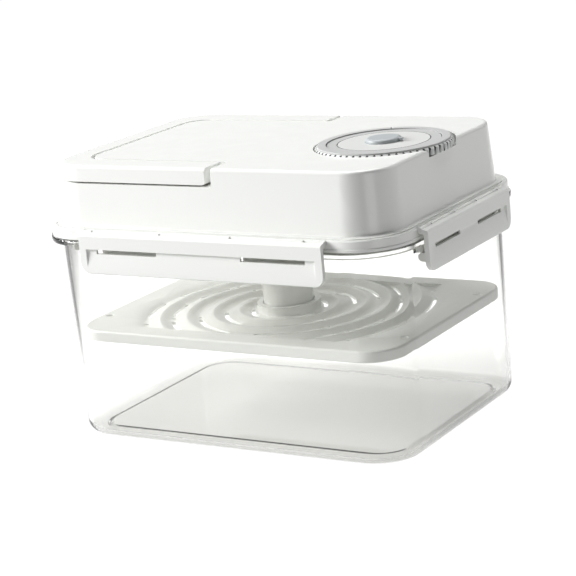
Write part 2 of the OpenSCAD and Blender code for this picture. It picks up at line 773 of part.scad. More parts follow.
module vent_button() {
    color([0.66, 0.69, 0.70]) translate([dial_offset, 0, 0]) {
        rotate_extrude() polygon(concat(
            [[0, button_top - 1.8], [button_radius - 2.6, button_top - 1.8], [button_radius - 2.6, button_bottom],
            [button_radius, button_bottom]],
            arc(button_radius - button_round, button_top - button_round, button_round, 0, 90, 5),
            [[0, button_top]]));
        translate([button_radius - 2, -tab_width / 2, button_top - tab_drop])
            cube([tab_reach + 2, tab_width, tab_drop - 0.5]);
        translate([0, 0, ceiling - lid_wall - 2.5]) cylinder(r = vent_rod, h = button_top - ceiling + lid_wall + 1.5);
    }
}

// Coil spring under the vent button: wire sections placed along a helix
module vent_spring() {
    wire = 0.5;
    coil = 6;
    turns = 4;
    steps = 14;
    sides = 6;
    bottom = post_top + wire;
    rise = (button_top - 1.8 - wire - bottom) / turns;
    rings = turns * steps;
    points = [for (i = [0:rings], j = [0:sides - 1]) let (a = 360 * i / steps, b = 360 * j / sides,
        r = coil + wire * cos(b)) [r * cos(a), r * sin(a), bottom + rise * i / steps + wire * sin(b)]];
    sides_of = [for (i = [0:rings - 1], j = [0:sides - 1]) let (n = (j + 1) % sides)
        [i * sides + j, i * sides + n, (i + 1) * sides + n, (i + 1) * sides + j]];
    ends = [[for (j = [sides - 1:-1:0]) j], [for (j = [0:sides - 1]) rings * sides + j]];
    color([0.72, 0.73, 0.75]) translate([dial_offset, 0, 0])
        polyhedron(points, concat(sides_of, ends));
}

module vent_valve() {
    color([0.55, 0.57, 0.58]) translate([dial_offset, 0, 0]) rotate_extrude()
        polygon([[vent_rod + turn_fit, ceiling - lid_wall - 2.4], [6, ceiling - lid_wall - 2.4],
            [8.5, ceiling - lid_wall - 0.9], [8.5, ceiling - lid_wall], [vent_rod + turn_fit, ceiling - lid_wall]]);
}

// The lift tube: its gear is driven by the dial, and its bore has the coarse thread for the follower
module lift_tube() {
    color([0.86, 0.84, 0.76]) difference() {
        union() {
            translate([0, 0, tube_bottom]) cylinder(r = tube_outer, h = tube_top - tube_bottom);
            translate([0, 0, bush_top + seat_fit])
                cylinder(r = shoulder_radius, h = gear_bottom - bush_top - seat_fit + 0.5);
            difference() {
                gear(tube_teeth, gear_bottom);
                for (a = [0:45:315]) rotate([0, 0, a + 22.5])
                    translate([(shoulder_radius + gear_module * tube_teeth / 2) / 2, 0, gear_bottom - over])
                        cylinder(r = gear_hole, h = gear_width + 2 * over);
            }
        }
        translate([0, 0, tube_bottom - over]) cylinder(r = tube_bore, h = tube_top - tube_bottom + 2 * over);
        translate([0, 0, tube_bottom - over]) cylinder(r = tube_bore + wiper_groove, h = wiper_height + over);
    }
}

module tube_bush() {
    color([0.80, 0.80, 0.78]) {
        ring(bush_outer, tube_outer + turn_fit, ceiling - lid_wall - 3, bush_top);
        ring(bush_outer + 3, tube_outer + turn_fit, bush_top - 1.8, bush_top);
    }
}

module stem_wiper() {
    color([0.55, 0.57, 0.58]) rotate_extrude() polygon([
        [tube_bore + wiper_groove, tube_bottom], [tube_bore + wiper_groove, tube_bottom + wiper_height],
        [tube_bore, tube_bottom + wiper_height], [stem_radius + turn_fit, tube_bottom + wiper_height / 2],
        [tube_bore, tube_bottom]]);
}

// Threaded follower on top of the stem
module stem_follower() {
    color([0.86, 0.84, 0.76]) difference() {
        translate([0, 0, follower_top - follower_height]) cylinder(r = follower_radius, h = follower_height);
        translate([0, 0, follower_top - follower_height - over])
            cylinder(r = spigot_radius, h = follower_height - 2 + over);
        translate([0, 0, follower_top - 3]) cylinder(r = spigot_radius - stem_wall, h = 5);
    }
}

module press_stem() {
    color([0.93, 0.935, 0.925]) difference() {
        union() {
            translate([0, 0, stem_foot]) cylinder(r = stem_radius, h = stem_length - follower_height);
            translate([0, 0, stem_foot]) cylinder(r = spigot_radius, h = stem_length - 2);
        }
        translate([0, 0, stem_foot + stem_wall]) cylinder(r = spigot_radius - stem_wall, h = stem_length);
        for (a = [90, 210, 330]) rotate([0, 0, a]) translate([screw_circle, 0, stem_foot - over])
            cylinder(r = screw_shank, h = stem_wall + 2 * over);
    }
}

// Section of one ring valley about its middle, carried a little above the plate's top
function valley_section() = let (low = valley_floor / 2, slope = (valley_pitch / 2 - crest_width / 2 - low) / valley_depth,
    high = low + slope * (valley_depth + valley_lift))
    [[-high, valley_lift], [-low, -valley_depth], [low, -valley_depth], [high, valley_lift]];

// The rings of valleys under height z, within the plate's inner field
module valleys(z, grow) {
    intersection() {
        translate([0, 0, z]) rotate_extrude() for (i = [0:valley_count - 1])
            translate([valley_first + i * valley_pitch, 0]) polygon(valley_section());
        slab(field_x + grow, field_y + grow, field_corner + grow, z - 20, z + 20);
    }
}

// Slot along a valley, with round ends
module drain(valley, middle, half) {
    r = valley_first + valley * valley_pitch;
    rotate([0, 0, middle - half]) rotate_extrude(angle = 2 * half)
        translate([r - drain_width / 2, 0]) square([drain_width, drain_cut]);
    for (a = [middle - half, middle + half])
        rotate([0, 0, a]) translate([r, 0, 0]) cylinder(r = drain_width / 2 - 0.1, h = drain_cut);
}

module press_plate() {
    color([0.93, 0.935, 0.925]) difference() {
        union() {
            difference() {
                body_of(plate_x, plate_y, plate_corner, concat([[-0.8, plate_bottom], [0, plate_bottom + 0.8]],
                    arc(-2, plate_level - 2, 2, 0, 90, 5)));
                difference() {
                    slab(plate_x - plate_thick, plate_y - plate_thick, plate_corner - plate_thick,
                        plate_bottom - over, plate_level - plate_thick);
                    valleys(plate_level - plate_thick, plate_thick);
                }
                valleys(plate_level, 0);
            }
            translate([0, 0, plate_level - plate_thick]) cylinder(r = hub_outer, h = hub_rise + plate_thick);
            translate([0, 0, hub_floor]) cylinder(r = hub_inner, h = stem_foot - hub_floor);
        }
        translate([0, 0, stem_foot]) cylinder(r = hub_inner, h = hub_rise + over);
        for (sx = [0, 1], sy = [0, 1]) mirror([sx, 0, 0]) mirror([0, sy, 0])
            translate([0, 0, plate_level - drain_under]) {
                for (d = drains) drain(d[0], d[1], d[2]);
                for (h = drain_holes) rotate([0, 0, h[1]])
                    translate([valley_first + h[0] * valley_pitch, 0, 0]) cylinder(r = drain_hole, h = drain_cut);
                translate(corner_hole) cylinder(r = drain_hole + 1.4, h = drain_cut);
            }
        for (a = [90, 210, 330]) rotate([0, 0, a]) translate([screw_circle, 0, plate_bottom]) {
            cylinder(r = screw_shank + 0.3, h = 20);
            cylinder(r = screw_head + 0.3, h = stem_foot - hub_floor);
        }
    }
}

module plate_screws() {
    color([0.75, 0.76, 0.77]) for (a = [90, 210, 330]) rotate([0, 0, a]) translate([screw_circle, 0, 0]) {
        translate([0, 0, stem_foot - screw_seat]) cylinder(r = screw_head, h = screw_head_height);
        translate([0, 0, stem_foot - screw_seat + screw_head_height / 2])
            cylinder(r = screw_shank - 0.05, h = screw_seat - screw_head_height / 2 + stem_wall - 0.2);
    }
}

tub();
lid_cover();
lid_liner();
lid_gasket();
liner_screws();
handle();
latch_front();
latch_back();
latch_left();
latch_right();
hinge_rod_front();
hinge_rod_back();
hinge_rod_left();
hinge_rod_right();
dial_wheel();
dial_gear();
dial_post();
dial_cap();
vent_button();
vent_spring();
vent_valve();
lift_tube();
tube_bush();
stem_wiper();
stem_follower();
press_stem();
press_plate();
plate_screws();
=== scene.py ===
"""A clear food tub with a tall white latching lid, a thumb dial and a press plate inside."""

import math

import bmesh
import bpy
import numpy as np
from mathutils import Matrix, Vector


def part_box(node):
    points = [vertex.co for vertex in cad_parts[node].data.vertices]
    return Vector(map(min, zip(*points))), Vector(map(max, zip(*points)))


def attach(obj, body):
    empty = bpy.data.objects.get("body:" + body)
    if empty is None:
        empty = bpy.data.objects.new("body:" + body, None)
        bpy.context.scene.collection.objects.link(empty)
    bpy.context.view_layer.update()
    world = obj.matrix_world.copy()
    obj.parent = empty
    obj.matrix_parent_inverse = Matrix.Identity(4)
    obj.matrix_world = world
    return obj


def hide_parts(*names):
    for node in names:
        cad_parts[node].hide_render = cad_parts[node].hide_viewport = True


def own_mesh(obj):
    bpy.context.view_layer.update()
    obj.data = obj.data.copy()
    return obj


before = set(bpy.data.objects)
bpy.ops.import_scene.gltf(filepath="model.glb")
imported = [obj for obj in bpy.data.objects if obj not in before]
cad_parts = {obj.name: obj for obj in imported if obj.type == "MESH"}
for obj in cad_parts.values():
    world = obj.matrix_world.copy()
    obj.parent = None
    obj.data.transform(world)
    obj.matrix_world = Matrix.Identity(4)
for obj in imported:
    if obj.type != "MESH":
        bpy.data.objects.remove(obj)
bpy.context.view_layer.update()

# The clear tub. It is one injection moulding of polished copolyester with 3 mm walls,
# an outward rim that stiffens its mouth and a rib under the rim for each latch to hook on.
# Here it is a single surface, so that light bends only at its true inner and outer faces.
MM = 0.001
RIM_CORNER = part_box("tub")[1]
TUB_HEIGHT = RIM_CORNER.z
RIM_REACH = 8.9 * MM
RIM_STEP = 4.5 * MM
RIM_THICK = 4.4 * MM
MOUTH_X = RIM_CORNER.x - RIM_REACH
MOUTH_Y = RIM_CORNER.y - RIM_REACH
TUB_CORNER = 39 * MM
TUB_WALL = 3 * MM
TUB_DRAFT = 1.8 * MM
RIM_TOP = TUB_HEIGHT - RIM_STEP
RIM_BOTTOM = RIM_TOP - RIM_THICK
ARC_STEPS = 22
SIDE_STEPS = 90
FROST_START = 38 * MM
CLEAR_BEND = 1.49
CLEAR_TINT = "FDFDFC"
CLEAR_PASS = "FAFAF9"
CLEAR_ABSORBED = "424A30"
CLEAR_DENSITY = 9.0
FROSTED_TINT = "E6E7E2"


def linear(hex_colour):
    """sRGB hex to a linear RGBA colour: each channel over 0.04045 is ((c + 0.055) / 1.055) to the power 2.4."""
    c = np.array([int(hex_colour[i : i + 2], 16) for i in (0, 2, 4)]) / 255
    c = np.where(c <= 0.04045, c / 12.92, ((c + 0.055) / 1.055) ** 2.4)
    return (*c.tolist(), 1.0)


def add_node(tree, kind, settings=None, links=None):
    """Adds a node, sets its properties or input values by name, and links inputs from other nodes' outputs."""
    node = tree.nodes.new(kind)
    for name, value in (settings or {}).items():
        if isinstance(name, str) and hasattr(node, name):
            setattr(node, name, value)
        else:
            node.inputs[name].default_value = value
    for name, source in (links or {}).items():
        tree.links.new(source, node.inputs[name])
    return node


def new_material(name):
    """An empty node material and its output node."""
    material = bpy.data.materials.new(name)
    material.use_nodes = True
    tree = material.node_tree
    tree.nodes.clear()
    return material, tree, add_node(tree, "ShaderNodeOutputMaterial")


def rounded_loop(half_x, half_y, corner, steps=ARC_STEPS, side=SIDE_STEPS):
    """Points anticlockwise round a rounded rectangle, from the middle of its right side.

    Each corner is a quarter circle in equal angles, and each straight side is cut in equal lengths,
    so loops of other sizes have their points in the same places along the outline.
    """
    turn = np.linspace(0, math.pi / 2, steps + 1)
    share = np.linspace(0, 1, side + 1)[1:-1]
    points = []
    for k in range(4):
        a = turn + k * math.pi / 2
        cx = (half_x - corner) * (1, -1, -1, 1)[k]
        cy = (half_y - corner) * (1, 1, -1, -1)[k]
        points.append(np.stack([cx + corner * np.cos(a), cy + corner * np.sin(a)], 1))
        nx = (half_x - corner) * (-1, -1, 1, 1)[k]
        ny = (half_y - corner) * (1, -1, -1, 1)[k]
        b = (k + 1) * math.pi / 2
        start = points[-1][-1]
        end = np.array([nx + corner * math.cos(b), ny + corner * math.sin(b)])
        points.append(start + share[:, None] * (end - start))
    loop = np.concatenate(points)
    return np.roll(loop, side // 2, axis=0)


def skin(name, rows, close_ends=True):
    """A closed surface over a grid of points: rows of loops, with a flat face over the first and last loop."""
    rows = np.asarray(rows)
    count, around = rows.shape[:2]
    i = np.arange(count - 1)[:, None] * around
    j = np.arange(around)[None, :]
    n = (j + 1) % around
    quads = np.stack([i + j, i + n, i + around + n, i + around + j], -1).reshape(-1, 4).tolist()
    if close_ends:
        quads.append(list(range(around))[::-1])
        quads.append(list(range((count - 1) * around, count * around)))
    mesh = bpy.data.meshes.new(name)
    mesh.from_pydata(rows.reshape(-1, 3).tolist(), [], quads)
    mesh.update()
    return mesh


def put(mesh, name, crease, material, slot, body, *replaced):
    """Shows a mesh as a piece: smooth but for edges sharper than crease degrees, riding on its body."""
    mesh.shade_smooth()
    mesh.set_sharp_from_angle(angle=math.radians(crease))
    piece = bpy.data.objects.new(name, mesh)
    bpy.context.scene.collection.objects.link(piece)
    mesh.materials.clear()
    mesh.materials.append(material)
    weights = piece.modifiers.new("even_flats", "WEIGHTED_NORMAL")
    weights.keep_sharp = True
    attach(piece, body)
    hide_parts(*replaced)
    return piece


def arc_rows(out, height, radius, start, end, steps):
    """Section points on an arc, as distance out from the mouth's outline and height."""
    a = np.radians(np.linspace(start, end, steps + 1))
    return [(out + radius * math.cos(t), height + radius * math.sin(t)) for t in a]


def tub_surface():
    """The tub's section carried round its outline, from the middle of the base, over the rim and down inside.

    Every row has a distance out from the mouth's outline and a height, and the corner radius grows and
    shrinks with the distance. The rows of the catch rib reach out only along the latches.
    """

    def lean(z):
        return -TUB_DRAFT * (1 - z / TUB_HEIGHT)

    base_round = 10 * MM
    inner_round = base_round - 2 * MM
    panel_in_x = 18.5 * MM
    panel_in_y = 22.5 * MM
    panel_corner = 22 * MM
    panel_rise = 2 * MM
    slope = np.linspace(1, 0, 7)
    slope_in = 4 * MM * (slope - 0.5)
    slope_up = panel_rise * slope**2 * (3 - 2 * slope)
    panel = [
        (panel_in_x + i, panel_in_y + i, panel_corner - i, up) for i, up in zip(slope_in.tolist(), slope_up.tolist())
    ]
    rows = [rounded_loop(MOUTH_X - x, MOUTH_Y - y, c) for x, y, c, _ in panel]
    heights = [z for *_, z in panel]
    outside = arc_rows(lean(base_round) - base_round, base_round, base_round, -90, 0, 14)
    wall_heights = (25, 45, 70, 95, 120, 145, 160)
    outside += [(lean(z * MM), z * MM) for z in wall_heights]
    catch_low = 162.6 * MM
    catch = [(0, catch_low - 0.05 * MM), (-1 * MM, catch_low), (0, catch_low + MM), (0, RIM_BOTTOM - 0.01 * MM)]
    rim_edge, rim_cut = 0.8 * MM, 0.25 * MM
    lip_edge, lip_cut = 0.5 * MM, 0.15 * MM
    rim = [
        (RIM_REACH - rim_edge, RIM_BOTTOM),
        (RIM_REACH - rim_cut, RIM_BOTTOM + rim_cut),
        (RIM_REACH, RIM_BOTTOM + rim_edge),
        (RIM_REACH, RIM_TOP - rim_edge),
        (RIM_REACH - rim_cut, RIM_TOP - rim_cut),
        (RIM_REACH - rim_edge, RIM_TOP),
        (0.6 * MM, RIM_TOP),
        (0.1 * MM, RIM_TOP + lip_edge),
        (0, TUB_HEIGHT - lip_edge),
        (-lip_cut, TUB_HEIGHT - lip_cut),
        (-lip_edge, TUB_HEIGHT),
        (lip_edge - TUB_WALL, TUB_HEIGHT),
        (lip_cut - TUB_WALL, TUB_HEIGHT - lip_cut),
        (-TUB_WALL, TUB_HEIGHT - lip_edge),
    ]
    inside = [(lean(z * MM) - TUB_WALL, z * MM) for z in reversed(wall_heights)]
    inside += arc_rows(
        lean(TUB_WALL) - TUB_WALL - inner_round, TUB_WALL + inner_round, inner_round, 0, -90, 14
    )
    for out, z in outside:
        rows.append(rounded_loop(MOUTH_X + out, MOUTH_Y + out, TUB_CORNER + out))
        heights.append(z)
    for k, (_, z) in enumerate(catch):
        rows.append(catch_loop(k, lean(z)))
        heights.append(z)
    for out, z in rim + inside:
        rows.append(rounded_loop(MOUTH_X + out, MOUTH_Y + out, TUB_CORNER + out))
        heights.append(z)
    for i, up in zip(slope_in[::-1].tolist(), slope_up[::-1].tolist()):
        grow = TUB_WALL - MM - i
        rows.append(rounded_loop(MOUTH_X - panel_in_x + grow, MOUTH_Y - panel_in_y + grow, panel_corner + grow))
        heights.append(TUB_WALL + up)
    rows = np.array(rows)
    z = np.broadcast_to(np.array(heights)[:, None, None], (*rows.shape[:2], 1))
    return np.concatenate([rows, z], 2), len(panel) + len(outside)


def catch_loop(step, wall_out):
    """One loop of the catch rib: on the wall, but pushed out to the rib's face beside each latch."""
    loop = rounded_loop(MOUTH_X + wall_out, MOUTH_Y + wall_out, TUB_CORNER + wall_out)
    if step == 0:
        return loop
    face = [5.8 * MM, 4.3 * MM]
    ends = [66 * MM, 100 * MM]
    ramp = 1.5 * MM
    pulled = 1 * MM if step == 1 else 0
    for axis in (0, 1):
        along = np.abs(loop[:, 1 - axis])
        mouth = (MOUTH_X, MOUTH_Y)[axis]
        on_side = np.abs(loop[:, axis]) > mouth - 2 * TUB_WALL
        share = np.clip((ends[axis] + ramp - along) / ramp, 0, 1) * on_side
        reach = mouth + face[axis] - pulled
        loop[:, axis] += share * (np.sign(loop[:, axis]) * reach - loop[:, axis])
    return loop


def clear_plastic():
    """Polished clear copolyester, which refracts sharply at both faces and lets lamps reach what is inside.

    Light that runs along the wall is soaked up by exp(-density * path), so the tub's edges go grey.
    """
    material, tree, output = new_material("moulded_clear_copolyester")
    glass = add_node(
        tree,
        "ShaderNodeBsdfPrincipled",
        {"Base Color": linear(CLEAR_TINT), "Roughness": 0.015, "IOR": CLEAR_BEND, "Transmission Weight": 1.0},
    )
    open_way = add_node(tree, "ShaderNodeBsdfTransparent", {"Color": linear(CLEAR_PASS)})
    path = add_node(tree, "ShaderNodeLightPath")
    unseen = add_node(
        tree,
        "ShaderNodeMath",
        {"operation": "MAXIMUM"},
        {0: path.outputs["Is Shadow Ray"], 1: path.outputs["Is Diffuse Ray"]},
    )
    mix = add_node(tree, "ShaderNodeMixShader")
    tree.links.new(unseen.outputs[0], mix.inputs[0])
    tree.links.new(glass.outputs[0], mix.inputs[1])
    tree.links.new(open_way.outputs[0], mix.inputs[2])
    tree.links.new(mix.outputs[0], output.inputs["Surface"])
    soak = add_node(
        tree, "ShaderNodeVolumeAbsorption", {"Color": linear(CLEAR_ABSORBED), "Density": CLEAR_DENSITY}
    )
    tree.links.new(soak.outputs[0], output.inputs["Volume"])
    return material


def frosted_plastic():
    """The same copolyester where the mould is eroded: it scatters light like ground glass."""
    material, tree, output = new_material("eroded_copolyester")
    place = add_node(tree, "ShaderNodeTexCoord")
    noise = add_node(tree, "ShaderNodeTexNoise", {"Scale": 1600.0, "Detail": 2.0}, {"Vector": place.outputs["Object"]})
    bump = add_node(tree, "ShaderNodeBump", {"Distance": 0.03 * MM}, {"Height": noise.outputs[0]})
    shader = add_node(
        tree,
        "ShaderNodeBsdfPrincipled",
        {"Base Color": linear(FROSTED_TINT), "Roughness": 0.55, "IOR": CLEAR_BEND, "Transmission Weight": 0.15},
        {"Normal": bump.outputs[0]},
    )
    tree.links.new(shader.outputs[0], output.inputs["Surface"])
    return material


section, catch_row = tub_surface()
tub_mesh = skin("clear_tub", section)
clear_tub = put(tub_mesh, "clear_tub", 50, clear_plastic(), "clear_tub", "container", "tub")
tub_mesh.materials.append(frosted_plastic())
points_round = section.shape[1]
for face in tub_mesh.polygons[catch_row * points_round : (catch_row + 3) * points_round]:
    on_end = abs(face.center.x) > MOUTH_X + 2 * MM
    on_front = abs(face.center.y) > MOUTH_Y + 2 * MM and abs(face.center.x) > FROST_START
    if on_end or on_front:
        face.material_index = 1

# The lid cover. It is a glossy white polypropylene moulding: a tall raised block on a stepped flange,
# with a recess for the folded handle and a round well for the dial.
LID_WHITE = "F3F4F1"
GAP_SHADE_GREY = "8E918D"
GAP_REACH = 1.2 * MM
GAP_MARGIN = 2 * MM


def merged_copy(node):
    """A CAD node's mesh with its loose triangles joined at their corners, and faces and edges of no size dissolved."""
    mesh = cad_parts[node].data.copy()
    if mesh.attributes.get("custom_normal"):
        mesh.attributes.remove(mesh.attributes["custom_normal"])
    work = bmesh.new()
    work.from_mesh(mesh)
    bmesh.ops.remove_doubles(work, verts=work.verts, dist=2e-6)
    bmesh.ops.dissolve_degenerate(work, edges=work.edges, dist=1e-7)
    work.to_mesh(mesh)
    work.free()
    return mesh


def moulded_white(name, colour, roughness, grain, height):
    """White moulded plastic: an even colour, soft gloss, and a faint waviness where the melt cooled.

    The waviness is noise on Object coordinates with a cell of the given size in millimetres, as a bump of
    the given height in millimetres, and the same noise turns the roughness up and down a little.
    """
    material, tree, output = new_material(name)
    place = add_node(tree, "ShaderNodeTexCoord")
    noise = add_node(
        tree,
        "ShaderNodeTexNoise",
        {"Scale": 1000 / grain, "Detail": 3.0, "Roughness": 0.55},
        {"Vector": place.outputs["Object"]},
    )
    bump = add_node(tree, "ShaderNodeBump", {"Strength": 1.0, "Distance": height * MM}, {"Height": noise.outputs[0]})
    gloss = add_node(
        tree,
        "ShaderNodeMapRange",
        {"To Min": roughness - 0.04, "To Max": roughness + 0.04},
        {"Value": noise.outputs[0]},
    )
    shader = add_node(
        tree,
        "ShaderNodeBsdfPrincipled",
        {"Base Color": linear(colour), "IOR": 1.49},
        {"Roughness": gloss.outputs[0], "Normal": bump.outputs[0]},
    )
    tree.links.new(shader.outputs[0], output.inputs["Surface"])
    return material


lid_plastic = moulded_white("glossy_white_polypropylene", LID_WHITE, 0.2, 14, 0.01)
# A darker, duller copy of the white plastic: a painted shade for the walls of the gap round the handle.
gap_painted_shade = moulded_white("painted_shade_gap_polypropylene", GAP_SHADE_GREY, 0.6, 8, 0.01)
lid_mesh = merged_copy("lid_cover")
put(lid_mesh, "lid_shell", 28, lid_plastic, "white_lid", "container", "lid_cover")
lid_mesh.materials.append(gap_painted_shade)
# The upright walls of the narrow gap round the folded handle get a painted shade, darker than the lid's white, for
# shade finer than a render shows.
bail_low, bail_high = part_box("handle")
for face in lid_mesh.polygons:
    x, y, z = face.center
    beside = min(abs(x - bail_low.x), abs(y - bail_low.y), abs(y - bail_high.y))
    inside = bail_low.x - GAP_MARGIN < x < bail_high.x and abs(y) < bail_high.y + GAP_MARGIN
    upright = abs(face.normal.z) < 0.3
    if beside < GAP_REACH and inside and upright and z > bail_low.z:
        face.material_index = 1

# The handle. It is a U-shaped bail of the same white plastic, flush with the lid when folded,
# and it turns on two moulded studs that snap into the lid beside the recess.
put(merged_copy("handle"), "bail_handle", 28, lid_plastic, "white_lid", "handle", "handle")

# The lid's inner plate, moulded in plainer white plastic, closes the lid from below.
# Six stainless screws hold it to bosses in the cover, with a silicone gasket round its edge.
inner_plastic = moulded_white("satin_white_polypropylene", "EDEEEA", 0.38, 6, 0.01)
put(merged_copy("lid_liner"), "inner_plate", 28, inner_plastic, "white_inner", "container", "lid_liner")


def silicone(name, colour):
    """Translucent silicone: milky, a little light passes into it, and its surface is dull."""
    material, tree, output = new_material(name)
    place = add_node(tree, "ShaderNodeTexCoord")
    noise = add_node(tree, "ShaderNodeTexNoise", {"Scale": 900.0, "Detail": 2.0}, {"Vector": place.outputs["Object"]})
    bump = add_node(tree, "ShaderNodeBump", {"Distance": 0.02 * MM}, {"Height": noise.outputs[0]})
    shader = add_node(
        tree,
        "ShaderNodeBsdfPrincipled",
        {
            "Base Color": linear(colour),
            "Roughness": 0.5,
            "IOR": 1.41,
            "Subsurface Weight": 0.3,
            "Subsurface Radius": (0.002, 0.002, 0.002),
            "Subsurface Scale": 1.0,
        },
        {"Normal": bump.outputs[0]},
    )
    tree.links.new(shader.outputs[0], output.inputs["Surface"])
    return material


def brushed_steel(name):
    """Drawn stainless steel: a grey metal whose roughness is varied by fine noise, which spreads its reflections."""
    material, tree, output = new_material(name)
    place = add_node(tree, "ShaderNodeTexCoord")
    noise = add_node(tree, "ShaderNodeTexNoise", {"Scale": 1500.0, "Detail": 2.0}, {"Vector": place.outputs["Object"]})
    gloss = add_node(
        tree, "ShaderNodeMapRange", {"To Min": 0.22, "To Max": 0.4}, {"Value": noise.outputs[0]}
    )
    shader = add_node(
        tree,
        "ShaderNodeBsdfPrincipled",
        {"Base Color": linear("C9CACB"), "Metallic": 1.0},
        {"Roughness": gloss.outputs[0]},
    )
    tree.links.new(shader.outputs[0], output.inputs["Surface"])
    return material


seal_rubber = silicone("moulded_clear_silicone", "D6D8D3")
steel = brushed_steel("drawn_stainless_steel")
put(merged_copy("lid_gasket"), "lid_seal", 28, seal_rubber, "seal", "container", "lid_gasket")
put(merged_copy("liner_screws"), "inner_plate_screws", 28, steel, "steel", "container", "liner_screws")

# The four latches. Each is a white polypropylene flap with two slots and a hooked bead behind,
# and it swings on a stainless rod pushed through the knuckles of the lid's flange.
latch_plastic = moulded_white("satin_white_latch_polypropylene", "F2F3F0", 0.3, 10, 0.01)
for side in ("front", "back", "left", "right"):
    flap = merged_copy(f"latch_{side}")
    put(flap, f"{side}_latch_flap", 28, latch_plastic, "white_latch", f"{side}_latch", f"latch_{side}")
    rod = merged_copy(f"hinge_rod_{side}")
    put(rod, f"{side}_hinge_pin", 28, steel, "steel", "container", f"hinge_rod_{side}")


# The dial. It is a ring of pale grey ABS with ribs for the thumb round its edge,
# a raised inner ring and a moulded mark, and its hub goes down through the lid to a gear.
def grained_plastic(name, colour, roughness, grain, height):
    """Satin ABS from a spark-eroded mould: a fine even grain that dulls the shine.

    The grain is drawn at about twice its real size of 0.3 mm, so that it can show.
    """
    material, tree, output = new_material(name)
    place = add_node(tree, "ShaderNodeTexCoord")
    noise = add_node(
        tree, "ShaderNodeTexNoise", {"Scale": 1000 / grain, "Detail": 2.0}, {"Vector": place.outputs["Object"]}
    )
    bump = add_node(tree, "ShaderNodeBump", {"Distance": height * MM}, {"Height": noise.outputs[0]})
    shader = add_node(
        tree,
        "ShaderNodeBsdfPrincipled",
        {"Base Color": linear(colour), "Roughness": roughness, "IOR": 1.5},
        {"Normal": bump.outputs[0]},
    )
    tree.links.new(shader.outputs[0], output.inputs["Surface"])
    return material


def off_axis(face, centre):
    """A face's distance from the upright axis through centre."""
    return math.hypot(face.center.x - centre.x, face.center.y - centre.y)


# The groove material is darker than the real plastic, for shade finer than a render shows.
RIB_DEPTH = 2.2 * MM
GROOVE_REACH = 0.8 * MM
GROOVE_TOP = 1.6 * MM
MARK_ANGLE = 111.0
MARK_SPREAD = 3.0
MARK_DEPTH = 1.3 * MM
dial_plastic = grained_plastic("grained_pale_grey_abs", "B6B7B6", 0.45, 0.6, 0.02)
groove_shade = grained_plastic("shaded_groove_abs", "5E6062", 0.7, 0.6, 0.02)
# A lighter, glossier copy of the dial's plastic: a painted highlight on the thumb ribs past the ring's edge.
rib_painted_highlight = grained_plastic("painted_highlight_rib_abs", "D9DBD9", 0.35, 0.6, 0.02)
wheel_mesh = merged_copy("dial_wheel")
put(wheel_mesh, "thumb_dial", 24, dial_plastic, "dial_grey", "dial", "dial_wheel")
wheel_mesh.materials.append(groove_shade)
wheel_mesh.materials.append(rib_painted_highlight)
dial_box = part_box("dial_wheel")
dial_centre = (dial_box[0] + dial_box[1]) / 2
dial_top = dial_box[1].z
ring_edge = dial_box[1].y - RIB_DEPTH
for face in wheel_mesh.polygons:
    out = off_axis(face, dial_centre)
    depth, level = dial_top - face.center.z, face.normal.z
    turned = math.degrees(math.atan2(face.center.y - dial_centre.y, face.center.x - dial_centre.x))
    # The notch of the mark is drawn dark in the same groove material.
    in_mark = abs(turned - MARK_ANGLE) < MARK_SPREAD and level < 0.95 and depth < MARK_DEPTH
    in_groove = abs(out - ring_edge) < GROOVE_REACH and level < 0.8 and depth > GROOVE_TOP
    if in_mark or in_groove:
        face.material_index = 1
    elif out > ring_edge:
        face.material_index = 2

# The gear under the dial and the one on the lift tube are natural acetal, cut to the same tooth size.
# The post that the dial turns on is moulded white plastic and stands on the inner plate.
gear_plastic = grained_plastic("machined_natural_acetal", "ECE9DE", 0.4, 0.8, 0.01)
put(merged_copy("dial_gear"), "dial_drive_gear", 24, gear_plastic, "gear_resin", "dial", "dial_gear")
put(merged_copy("dial_post"), "fixed_post", 28, inner_plastic, "white_inner", "container", "dial_post")

# The fixed cap inside the dial and the vent button in its middle, both satin ABS.
# The button stands on a stainless coil spring, and its rod pushes a silicone valve open below the lid.
cap_plastic = grained_plastic("grained_light_grey_abs", "C8C9C7", 0.5, 0.6, 0.02)
button_plastic = grained_plastic("grained_blue_grey_abs", "A9AEB0", 0.45, 0.6, 0.02)
valve_rubber = silicone("moulded_grey_silicone", "9A9E9E")
cap_mesh = merged_copy("dial_cap")
put(cap_mesh, "fixed_cap", 28, cap_plastic, "cap_grey", "container", "dial_cap")
cap_mesh.materials.append(dial_plastic)
cap_mesh.materials.append(groove_shade)
cap_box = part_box("dial_cap")
cap_centre = (cap_box[0] + cap_box[1]) / 2
cap_reach = cap_box[1].y
DISC_REACH = 37.3 * MM
DISC_SHADE_LINE = 0.7 * MM
CAP_SHADE_LINE = 0.5 * MM
# Thin rings at the disc's edge and at the cap's rim take the groove material, a painted shade in the fine grooves
# there; the band between takes the dial's grey.
for face in cap_mesh.polygons:
    out = off_axis(face, cap_centre)
    if DISC_REACH < out < DISC_REACH + DISC_SHADE_LINE or out > cap_reach - CAP_SHADE_LINE:
        face.material_index = 2
    elif out > DISC_REACH:
        face.material_index = 1
put(merged_copy("vent_button"), "push_button", 28, button_plastic, "button_grey", "vent", "vent_button")
put(merged_copy("vent_valve"), "vent_flap_valve", 28, valve_rubber, "seal", "vent", "vent_valve")
spring = put(merged_copy("vent_spring"), "button_spring", 60, steel, "steel", "vent", "vent_spring")
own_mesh(spring)

